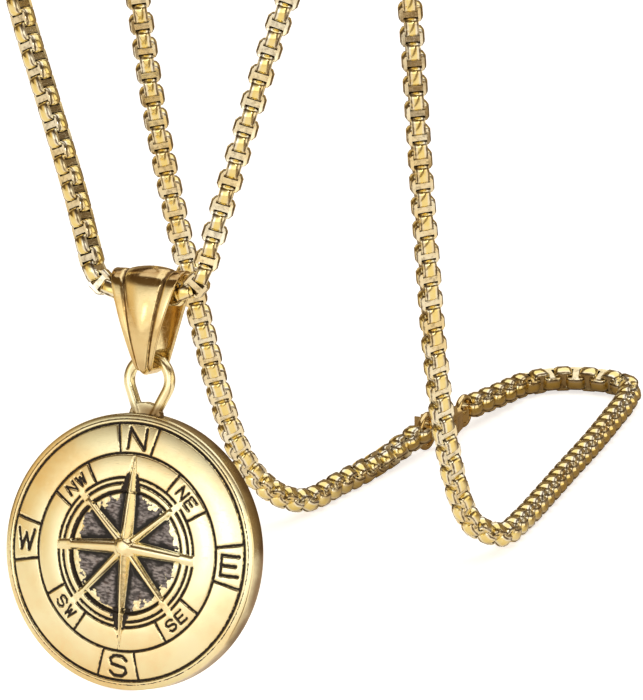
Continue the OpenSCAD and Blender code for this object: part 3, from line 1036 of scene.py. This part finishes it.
@dataclass
class Bail:
    """The folded, ribbed bail, sizes in millimetres."""

    fold_r: float = 2.05
    crest_y: float = 8.1
    foot_y: float = -1.05
    corner: float = 0.7
    wall: float = 0.5
    step: float = 0.42
    bulge: float = 13.0
    top_half: float = 4.85
    foot_half: float = 0.9
    low: float = -1.7
    high: float = 10.8
    panel: float = 0.58
    # The crest's painted dark reflection band: its turn, spread and strength; the darker tone towards the foot; and the
    # recess past which painted shade takes over
    crest_turn: float = 56.0
    crest_spread: float = 45.0
    crest_reflection: float = 1.0
    foot_spread: float = 3.4
    foot_tone: float = 0.6
    dark_from: float = 0.12

    def path(self) -> Profile:
        """List the inner path round the strap, in its side view.

        Returns:
            Place and outward normal of each spot.
        """
        spots: Profile = []
        lean = math.radians(self.bulge)
        for a in np.linspace(lean, math.pi, 33):
            c, s = math.cos(a), math.sin(a)
            spots.append((self.fold_r * c, self.crest_y + self.fold_r * s, c, s))
        leaf = np.linspace(self.crest_y, self.foot_y + self.corner, 16)[1:]
        spots += [(-self.fold_r, float(y), -1.0, 0.0) for y in leaf]
        inner = self.fold_r - self.corner
        for start, side in ((math.pi, -1), (1.5 * math.pi, 1)):
            for a in np.linspace(start, start + math.pi / 2, 7)[1 if side < 0 else 0:]:
                c, s = math.cos(a), math.sin(a)
                spots.append((side * inner + self.corner * c, self.foot_y + self.corner + self.corner * s, c, s))
        start, end = spots[-1], spots[0]
        length = end[1] - start[1]
        for t in np.linspace(0.0, 1.0, 18)[1:-1]:
            tilt = lean * (2.0 * t - 1.0)
            out = start[0] + (end[0] - start[0]) * t + lean * length * t * (1.0 - t)
            spots.append((out, start[1] + length * t, math.cos(tilt), math.sin(tilt)))
        return spots

    def section(self) -> Profile:
        """List the strap's section.

        Returns:
            Share of the half width, step in from it, height and recess of each point; the recess paints shade in the
            grooves and on the inner face.
        """
        p, w = self.panel, self.wall
        outer = [(1.0, 0.0, 0.14, 0.25), (1.0, 0.0, w - 0.14, 0.0), (1.0, 0.05, w - 0.04, 0.0),
                 (1.0, 0.16, w, 0.0), (0.86, 0.0, w - 0.01, 0.0), (0.74, 0.0, w, 0.0), (0.68, 0.0, w - 0.03, 0.15),
                 (0.645, 0.0, w - 0.16, 0.85), (0.615, 0.0, w - 0.20, 1.0), (p + 0.01, 0.0, w - 0.10, 0.95),
                 (p - 0.015, 0.0, w + 0.02, 0.55)]
        dome = [(p * k, 0.0, w + 0.03 + (self.step - 0.03) * (1.0 - k * k), d)
                for k, d in ((0.9, 0.42), (0.78, 0.2), (0.62, 0.0), (0.42, 0.0), (0.2, 0.0))]
        right = outer + dome
        mirror = [(-t, -i, h, d) for t, i, h, d in reversed(right)]
        top = right + [(0.0, 0.0, w + self.step, 0.0)] + mirror
        inner = [(-1.0, -0.04, 0.04, 0.4), (-1.0, -0.14, 0.0, 0.35), (-0.5, 0.0, 0.0, 0.3), (0.0, 0.0, 0.0, 0.3),
                 (0.5, 0.0, 0.0, 0.3), (1.0, 0.14, 0.0, 0.35), (1.0, 0.04, 0.04, 0.4)]
        return top + inner

    def tone(self, y: float, nz: float, ny: float) -> float:
        """Work out how much of the painted reflection tone shows: a painted dark reflection on the crest in front, and
        a darker tone towards the foot.

        Args:
            y: Way up the path.
            nz: Outward normal's part to the front.
            ny: Outward normal's part upwards.

        Returns:
            The share of the tone.
        """
        off = abs(math.degrees(math.atan2(ny, nz)) - self.crest_turn)
        crest = self.crest_reflection * max(0.0, 1.0 - off / self.crest_spread)
        foot = self.foot_tone * max(0.0, 1.0 - (y - self.foot_y) / self.foot_spread) * (nz > 0.5)
        return max(crest, foot)

    def build(self, shop: Workshop) -> Piece:
        """Sweep the section round the path, tapered to the foot.

        Args:
            shop: Makes the mesh with polished gold.

        Returns:
            The bail.
        """
        path, section = self.path(), self.section()
        points, layer = [], []
        for z, y, nz, ny in path:
            for share, inset, height, recess in section:
                spot = y + ny * height
                part = (spot - self.low) / (self.high - self.low)
                half = self.foot_half + (self.top_half - self.foot_half) * part
                points.append((share * half - inset, spot, z + nz * height))
                # Painted shade by the section's recess, else the painted reflection on the crest and the darker foot
                layer.append(recess if recess > self.dark_from else -self.tone(y, nz, ny))
        faces = loop_faces(len(path), len(section))
        piece = shop.make("folded_bail", placed(np.array(points), bail_frame()), faces, np.array(layer))
        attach(piece, "bail")
        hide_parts("bail")
        return piece


@dataclass
class LinkShape:
    """One box link, sizes in metres: a strip bent round a hole, and the tongue across the hole's middle."""

    length: float = 0.0025
    strip: float = 0.00172
    outer: tuple[Point2, ...] = ((0.00125, 0.00068), (0.00110, 0.00118), (0.00066, 0.0015))
    inner: tuple[Point2, ...] = ((0.00083, 0.00066), (0.00083, 0.00088), (0.00062, 0.00090))
    # Each point's share across the strip, depth from the outline into the hole and recess value: painted shade at the
    # edges and inside, the painted reflection tone on the crown
    section: tuple[Point3, ...] = (
        (-1.0, 0.44, 0.3), (-0.78, 0.16, 0.95), (0.0, 0.0, -2.4), (0.78, 0.16, 0.95), (1.0, 0.44, 0.3),
        (0.96, 1.0, 0.25), (-0.96, 1.0, 0.25),
    )
    # The tongue's points along the link and along the hole, with recess values that paint shade on it
    tongue: tuple[Point3, ...] = (
        (0.00038, 0.00060, 0.9), (0.00037, 0.00082, 0.42), (-0.00037, 0.00082, 0.42), (-0.00038, 0.00060, 0.9),
        (-0.00038, -0.00060, 0.9), (-0.00037, -0.00082, 0.42), (0.00037, -0.00082, 0.42), (0.00038, -0.00060, 0.9),
    )
    tongue_half: float = 0.00095

    @staticmethod
    def all_round(quarter: tuple[Point2, ...]) -> np.ndarray:
        """Repeat a quarter's points all round."""
        q = list(quarter)
        return np.array(q + [(-a, b) for a, b in q[::-1]] + [(-a, -b) for a, b in q] + [(a, -b) for a, b in q[::-1]])

    def build(self, shop: Workshop, name: str, tongue: bool = True) -> Piece:
        """Build a link round its hole, which lies along z, with its length along x.

        Args:
            shop: Makes the mesh.
            name: Name of the link.
            tongue: Whether the tongue fills the hole between its neighbours.

        Returns:
            The link.
        """
        outside, inside = self.all_round(self.outer), self.all_round(self.inner)
        points, layer = [], []
        for out, into in zip(outside, inside):
            for share, depth, recess in self.section:
                points.append((*(out + (into - out) * depth), share * self.strip / 2))
                layer.append(recess)
        faces = loop_faces(len(outside), len(self.section))
        if tongue:
            start, sides = len(points), len(self.tongue)
            for y in (-self.tongue_half, self.tongue_half):
                points += [(x, y, z) for x, z, _ in self.tongue]
                layer += [recess for _, _, recess in self.tongue]
            faces += [(start + k, start + (k + 1) % sides, start + sides + (k + 1) % sides, start + sides + k)
                      for k in range(sides)]
            faces += [tuple(range(start, start + sides)), tuple(range(start + 2 * sides - 1, start + sides - 1, -1))]
        return shop.make(name, np.array(points), faces, np.array(layer), sharp_angle=45.0)


@dataclass
class BoxChain:
    """The chain of box links along its route, sizes in metres."""

    links: int = 351
    end_in: float = 0.00021
    route: tuple[Point3, ...] = CHAIN_ROUTE
    jitter: float = 1.6
    seed: int = 11
    stretches: tuple[tuple[int, Facing], ...] = (
        (0, Facing.LEVEL), (2, Facing.CORNER_ON), (4, Facing.CORNER_ON), (6, Facing.FACE_ON), (17, Facing.FACE_ON),
        (19, Facing.CORNER_ON), (23, Facing.CORNER_ON), (26, Facing.FACE_ON), (44, Facing.FACE_ON),
        (46, Facing.A_LITTLE), (48, Facing.HALF_TURNED), (49, Facing.OTHER_CORNER_ON), (56, Facing.OTHER_CORNER_ON),
        (62, Facing.LEVEL),
    )

    def knots(self) -> tuple[np.ndarray, np.ndarray]:
        """Work out the route's smooth middle line.

        Returns:
            Its points, and the knot number of each, with its fraction.
        """
        p = np.array(self.route)
        last = len(p) - 1
        chord = np.linalg.norm(np.diff(p, axis=0), axis=1)
        pace = np.empty_like(p)
        for i in range(len(p)):
            a, b = max(i - 1, 0), min(i + 1, last)
            span = sum(chord[k] for k in (i - 1, i) if 0 <= k < last)
            pace[i] = (p[b] - p[a]) / span
        points, numbers = [], []
        for i in range(last):
            for t in np.linspace(0.0, 1.0, 25)[:-1]:
                a, b = 2 * t**3 - 3 * t**2 + 1, 3 * t**2 - 2 * t**3
                c, d = t**3 - 2 * t**2 + t, t**3 - t**2
                points.append(p[i] * a + p[i + 1] * b + chord[i] * (pace[i] * c + pace[i + 1] * d))
                numbers.append(i + t)
        return np.array(points + [p[last]]), np.array(numbers + [float(last)])

    def trimmed(self) -> tuple[np.ndarray, np.ndarray]:
        """Space the middle line evenly, from the first link's middle to the last's.

        Returns:
            Its points and the knot number of each.
        """
        points, numbers = self.knots()
        run = np.concatenate([[0.0], np.cumsum(np.linalg.norm(np.diff(points, axis=0), axis=1))])
        even = np.linspace(self.end_in, run[-1] - self.end_in, 4 * (self.links - 1) + 1)
        spots = np.stack([np.interp(even, run, points[:, k]) for k in range(3)], axis=1)
        return spots, np.interp(even, run, numbers)

    @staticmethod
    def front_of(ahead: Vector) -> Vector:
        """The direction to the camera, made square to the way ahead."""
        return (VIEW_BACK - ahead * VIEW_BACK.dot(ahead)).normalized()

    def level_turn(self, ahead: Vector) -> float:
        """Work out the turn about the way ahead that brings the front's direction level.

        Args:
            ahead: The way ahead.

        Returns:
            The turn in degrees.
        """
        front = self.front_of(ahead)
        level = ahead.cross(Vector((0.0, 0.0, 1.0))).normalized()
        level = level if level.dot(front) > 0 else -level
        return math.degrees(math.atan2(front.cross(level).dot(ahead), front.dot(level)))

    def faces_along(self, spots: np.ndarray, numbers: np.ndarray) -> np.ndarray:
        """Work out the direction that the links' holes take at each spot.

        Args:
            spots: Points of the middle line.
            numbers: Knot number of each.

        Returns:
            A direction for each.
        """
        ahead = ways_ahead(spots)
        ends = {0: self.level_turn(Vector(ahead[0])), len(self.route) - 1: self.level_turn(Vector(ahead[-1]))}
        marks = [(k, ends[k] if kind is Facing.LEVEL else kind.value) for k, kind in self.stretches]
        turns = np.interp(numbers, [m[0] for m in marks], [m[1] for m in marks])
        result = []
        for along, turn in zip(ahead, turns):
            way = Vector(along)
            result.append(Matrix.Rotation(math.radians(float(turn)), 3, way) @ self.front_of(way))
        return np.array([tuple(v) for v in result])

    def tree(self) -> Tree:
        """Build the tree that lays the links along the line, every other one turned a quarter.

        Returns:
            The tree.
        """
        nodes, into, out = start_group(
            "box_chain", "GeometryNodeTree",
            {"Line": "Geometry", "Link": "Object", "Links": "Int", "Quarter Turn": "Float", "Looseness": "Float",
             "Gold": "Material"}, {"Chain": "Geometry"})
        add, combine = nodes.add, nodes.combine
        curve = add("GeometryNodeMeshToCurve", {"Mesh": into["Line"]})["Curve"]
        even = add("GeometryNodeResampleCurve", {"Curve": curve, "Count": into["Links"]})["Curve"]
        ahead = add("GeometryNodeInputTangent")["Tangent"]
        face = add("GeometryNodeInputNamedAttribute", {"Name": Layer.FACE.value}, data_type="FLOAT_VECTOR")["Attribute"]
        along = add("FunctionNodeAxesToRotation", {"Primary Axis": ahead, "Secondary Axis": face},
                    primary_axis="X", secondary_axis="Z")["Rotation"]
        odd = combine("MODULO", add("GeometryNodeInputIndex")["Index"], 2.0)
        chance = add("FunctionNodeRandomValue", {2: -1.0, 3: 1.0, "Seed": self.seed}, data_type="FLOAT")[1]
        angle = combine("ADD", combine("MULTIPLY", odd, into["Quarter Turn"]),
                        combine("MULTIPLY", chance, into["Looseness"]))
        about = add("FunctionNodeAxisAngleToRotation", {"Axis": (1.0, 0.0, 0.0), "Angle": angle})["Rotation"]
        twist = add("FunctionNodeRotateRotation", {"Rotation": along, "Rotate By": about}, rotation_space="LOCAL")
        link = add("GeometryNodeObjectInfo", {"Object": into["Link"]})["Geometry"]
        spread = add("GeometryNodeInstanceOnPoints", {"Points": even, "Instance": link, "Rotation": twist[0]})
        real = add("GeometryNodeRealizeInstances", {"Geometry": spread["Instances"]})["Geometry"]
        gold = add("GeometryNodeSetMaterial", {"Geometry": real, "Material": into["Gold"]})["Geometry"]
        nodes.give(gold, out["Chain"])
        return nodes.tree

    def build(self, shop: Workshop, shape: LinkShape) -> Piece:
        """Build the chain and dress it.

        Args:
            shop: Makes the link with the chain's gold.
            shape: The link.

        Returns:
            The chain.
        """
        link = shape.build(shop, "one_link")
        spots, numbers = self.trimmed()
        mesh = bpy.data.meshes.new("box_chain_links")
        mesh.from_pydata([tuple(s) for s in spots], [(k, k + 1) for k in range(len(spots) - 1)], [])
        set_layer(mesh, Layer.FACE, self.faces_along(spots, numbers))
        chain = add_object("box_chain_links", mesh)
        tree = self.tree()
        modifier = chain.modifiers.new("links", "NODES")
        modifier.node_group = tree
        values = {"Link": link, "Links": self.links, "Quarter Turn": math.pi / 2,
                  "Looseness": math.radians(self.jitter), "Gold": shop.material}
        for item in tree.interface.items_tree:
            if item.in_out == "INPUT" and item.name in values:
                modifier[item.identifier] = values[item.name]
        settle(chain)
        bpy.data.objects.remove(link, do_unlink=True)
        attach(chain, "necklace")
        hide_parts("chain")
        return chain


@dataclass
class Clasp:
    """The lobster clasp, its rings and the chain's two end links."""

    bodies: tuple[tuple[str, str], ...] = (
        ("end_link_left", "necklace"), ("end_link_right", "necklace"), ("hook_ring", "necklace"),
        ("eye_ring", "necklace"), ("clasp_body", "necklace"), ("clasp_lever", "clasp_lever"))
    round_edges: tuple[str, ...] = ("clasp_body", "clasp_lever")
    edge: float = 0.00016
    hook_end: Point3 = (-0.0173, 0.08415, -0.1176)
    eye_end: Point3 = (-0.0176, 0.1016, -0.1176)
    end_gap: float = 0.0002

    def build_link(self, shop: Workshop, shape: LinkShape, node: str) -> Piece:
        """Build one end link in its place, its hole upright.

        Args:
            shop: Makes the link.
            shape: The link.
            node: Name of the node that it stands for.

        Returns:
            The link.
        """
        piece = shape.build(shop, node + "_piece", tongue=False)
        start, end = Vector(self.hook_end), Vector(self.eye_end)
        along = (end - start).normalized()
        reach = self.end_gap + shape.length / 2
        middle = start + along * reach if node.endswith("left") else end - along * reach
        across = Vector((0.0, 0.0, 1.0)).cross(along)
        frame = Matrix((along, across, (0.0, 0.0, 1.0))).transposed().to_4x4()
        piece.data.transform(Matrix.Translation(middle) @ frame)
        return piece

    def soften(self, nodes: dict, node: str, shop: Workshop) -> Piece:
        """Copy a node's solid and round its edges.

        Args:
            nodes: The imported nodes' objects.
            node: Name of the node.
            shop: Gives the material.

        Returns:
            The rounded copy.
        """
        mesh = nodes[node].data.copy()
        shape = bmesh.new()
        shape.from_mesh(mesh)
        bmesh.ops.remove_doubles(shape, verts=shape.verts, dist=1e-6)
        bmesh.ops.dissolve_limit(shape, angle_limit=math.radians(2.0), verts=shape.verts, edges=shape.edges)
        bmesh.ops.recalc_face_normals(shape, faces=shape.faces)
        shape.to_mesh(mesh)
        shape.free()
        mesh.materials.clear()
        mesh.materials.append(shop.material)
        piece = add_object(node + "_piece", mesh)
        bevel = piece.modifiers.new("edges", "BEVEL")
        bevel.width, bevel.segments, bevel.angle_limit = self.edge, 3, math.radians(40.0)
        settle(piece)
        piece.data.shade_smooth()
        piece.data.set_sharp_from_angle(angle=math.radians(50.0))
        return piece

    def build(self, nodes: dict, polished: Workshop, chain: Workshop, shape: LinkShape) -> list[Piece]:
        """Dress the clasp's nodes and build what stands for them.

        Args:
            nodes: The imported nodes' objects.
            polished: Makes pieces with polished gold.
            chain: Makes pieces with the chain's gold.
            shape: The chain's link.

        Returns:
            The pieces that were built.
        """
        made = []
        for node, body in self.bodies:
            if node.startswith("end_link"):
                piece, slot = self.build_link(chain, shape, node), "chain_gold"
            elif node in self.round_edges:
                piece, slot = self.soften(nodes, node, polished), "polished_gold"
            else:
                for place in nodes[node].material_slots:
                    place.material = polished.material
                continue
            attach(piece, body)
            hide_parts(node)
            made.append(piece)
        return made


def aim(holder: Piece, at: Point3 | Vector, way: Vector) -> None:
    """Place a lamp or the camera and point it."""
    holder.location, holder.rotation_mode = at, "QUATERNION"
    holder.rotation_quaternion = way.to_track_quat("-Z", "Y")


@dataclass(frozen=True)
class Lamp:
    """A square soft light that shines at the medallion: place, side in metres, power in watts and colour."""

    name: str
    at: Point3
    size: float
    power: float
    colour: Rgb = (1.0, 1.0, 1.0)

    def hang(self) -> None:
        """Hang the light."""
        light = bpy.data.lights.new(self.name, "AREA")
        light.shape, light.size, light.energy, light.color = "SQUARE", self.size, self.power, self.colour
        aim(add_object(self.name, light), self.at, LIT - Vector(self.at))


@dataclass(frozen=True)
class Paper:
    """The floor's paper, lit and dim: its own colour, the glow that the metal sees and what the camera sees."""

    lit: Rgb = (0.90, 0.88, 0.85)
    dim: Rgb = (0.30, 0.22, 0.13)
    glow: Rgb = (0.74, 0.66, 0.54)
    glow_dim: Rgb = (0.14, 0.10, 0.055)
    # The camera sees the paper glow brighter in front than behind, a painted light that washes out the medallion's
    # shadow
    seen: Rgb = (1.7, 1.7, 1.7)
    seen_behind: Rgb = (1.2, 1.2, 1.2)
    strength: float = 0.55


@dataclass
class Studio:
    """The pale floor, the soft room, the lights and the camera."""

    floor_z: float = -0.12012
    floor_r: float = 1.3
    frame_height: float = 0.0838
    lens: float = 1500.0
    target: Point3 = (0.01786, -0.00988, -0.07966)
    paper: Paper = Paper()
    room_glow: Rgb = (1.02, 0.96, 0.84)
    front: Point3 = (-0.12, -0.98, 0.10)
    front_glow: Rgb = (1.42, 1.38, 1.30)
    # Axis, where the band starts and is full, and its colour
    bands: tuple[tuple[str, float, float, Rgb], ...] = (
        ("X", -0.52, -0.74, (0.86, 0.66, 0.38)), ("X", -0.80, -0.95, BROWN), ("X", 0.20, 0.40, (1.75, 1.66, 1.52)),
        ("X", 0.60, 0.70, BROWN), ("X", 0.79, 0.86, (1.30, 1.12, 0.80)), ("Y", 0.58, 0.84, (0.30, 0.21, 0.11)),
        ("Z", 0.26, 0.58, BROWN),
    )
    room_seen: Rgb = (0.97, 0.96, 0.94)
    lamps: tuple[Lamp, ...] = (
        Lamp("overhead", (0.1, 0.3, 0.9), 1.6, 9.0),
        Lamp("glint", (-0.20, -1.10, 0.10), 0.18, 0.16, (1.0, 0.98, 0.95)),
        Lamp("sparkle", (0.75, -0.85, 0.45), 0.12, 0.40, (1.0, 0.98, 0.95)),
    )

    def build_floor(self) -> None:
        """Lay the round pale floor, with dim parts that the metal sees to the front right and behind."""
        mesh = bpy.data.meshes.new("floor")
        turns = [k * math.tau / 64 for k in range(64)]
        mesh.from_pydata([(self.floor_r * math.cos(a), self.floor_r * math.sin(a), self.floor_z) for a in turns],
                         [], [tuple(range(64))])
        floor = add_object("floor", mesh)
        material = bpy.data.materials.new("white_paper")
        material.use_nodes = True
        shader = material.node_tree.nodes["Principled BSDF"].inputs
        nodes, paper = Wiring(material.node_tree), self.paper
        place = nodes.add("ShaderNodeTexCoord")["Object"]
        flat = nodes.add("ShaderNodeVectorMath", {0: place, 1: (1.0, 1.0, 0.0)}, operation="MULTIPLY")["Vector"]
        way = nodes.add("ShaderNodeVectorMath", {0: flat}, operation="NORMALIZE")["Vector"]
        across = nodes.add("ShaderNodeSeparateXYZ", {"Vector": way})["X"]
        behind = nodes.add("ShaderNodeSeparateXYZ", {"Vector": place})["Y"]
        band = nodes.combine("MULTIPLY", nodes.ramp(across, 0.60, 0.70), nodes.ramp(across, 0.92, 0.84))
        band = nodes.combine("MULTIPLY", band, nodes.ramp(behind, 0.0, -0.03))
        dim = nodes.combine("MAXIMUM", band, nodes.ramp(behind, 0.04, 0.075))
        seen = nodes.add("ShaderNodeLightPath")["Is Camera Ray"]
        hidden = nodes.combine("MULTIPLY", dim, nodes.ramp(seen, 1.0, 0.0))
        glow = nodes.blend(dim, paper.glow, paper.glow_dim)
        # Painted light: brighter in front, where it washes out the medallion's shadow
        white = nodes.blend(nodes.ramp(behind, -0.01, 0.03), paper.seen, paper.seen_behind)
        nodes.give(nodes.blend(hidden, paper.lit, paper.dim), shader["Base Color"])
        nodes.give(nodes.blend(seen, glow, white), shader["Emission Color"])
        for label, value in (("Roughness", 0.9), ("Specular IOR Level", 0.1), ("Emission Strength", paper.strength)):
            shader[label].default_value = value
        mesh.materials.append(material)

    def build_room(self) -> None:
        """Set the room's glow: bright and brown bands round the horizon and brown overhead, pale to the camera."""
        world = bpy.context.scene.world or bpy.data.worlds.new("studio")
        bpy.context.scene.world = world
        world.use_nodes = True
        nodes = Wiring(world.node_tree)
        way = nodes.add("ShaderNodeTexCoord")["Generated"]
        split = nodes.add("ShaderNodeSeparateXYZ", {"Vector": way})
        near = nodes.add("ShaderNodeVectorMath", {0: way, 1: Vector(self.front).normalized()}, operation="DOT_PRODUCT")
        glow = nodes.blend(nodes.ramp(near["Value"], 0.84, 0.975), self.room_glow, self.front_glow)
        for axis, start, full, colour in self.bands:
            glow = nodes.blend(nodes.ramp(split[axis], start, full), glow, colour)
        seen = nodes.add("ShaderNodeLightPath")["Is Camera Ray"]
        nodes.give(nodes.blend(seen, glow, self.room_seen), world.node_tree.nodes["Background"].inputs["Color"])

    def build_camera(self) -> None:
        """Set the camera at the photograph's angle."""
        data = bpy.data.cameras.new("camera")
        data.lens = self.lens
        camera = add_object("camera", data)
        distance = self.frame_height * self.lens / data.sensor_width
        aim(camera, Vector(self.target) + VIEW_BACK.normalized() * distance, -VIEW_BACK)
        data.clip_start, data.clip_end = 0.1, 20.0
        bpy.context.scene.camera = camera
        bpy.context.scene.view_settings.view_transform = "Standard"

    def build(self) -> None:
        """Set up the whole studio."""
        self.build_floor()
        self.build_room()
        for lamp in self.lamps:
            lamp.hang()
        self.build_camera()


def report(piece: Piece) -> None:
    """Log a piece's name and how many triangles it has."""
    faces = sum(len(p.vertices) - 2 for p in piece.data.polygons)
    LOG.info("%s: %d triangles", piece.name, faces)


def main() -> None:
    """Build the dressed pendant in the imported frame."""
    logging.basicConfig(level=logging.INFO, format="%(name)s %(message)s")
    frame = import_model()
    Studio().build()
    paint = MetalPaint(SurfaceEffects())
    polished = Workshop(paint.gold(POLISHED_GOLD))
    chain_gold = Workshop(paint.gold(CHAIN_GOLD))
    medallion_gold = Workshop(paint.engraved(MEDALLION_GOLD, Blackening()))
    report(Medallion().build(medallion_gold))
    report(Bail().build(polished))
    shape = LinkShape()
    report(BoxChain().build(chain_gold, shape))
    plain = Workshop(paint.gold(POLISHED_GOLD, layered=False))
    for piece in Clasp().build(frame["nodes"], plain, chain_gold, shape):
        report(piece)


if __name__ == "__main__":
    main()
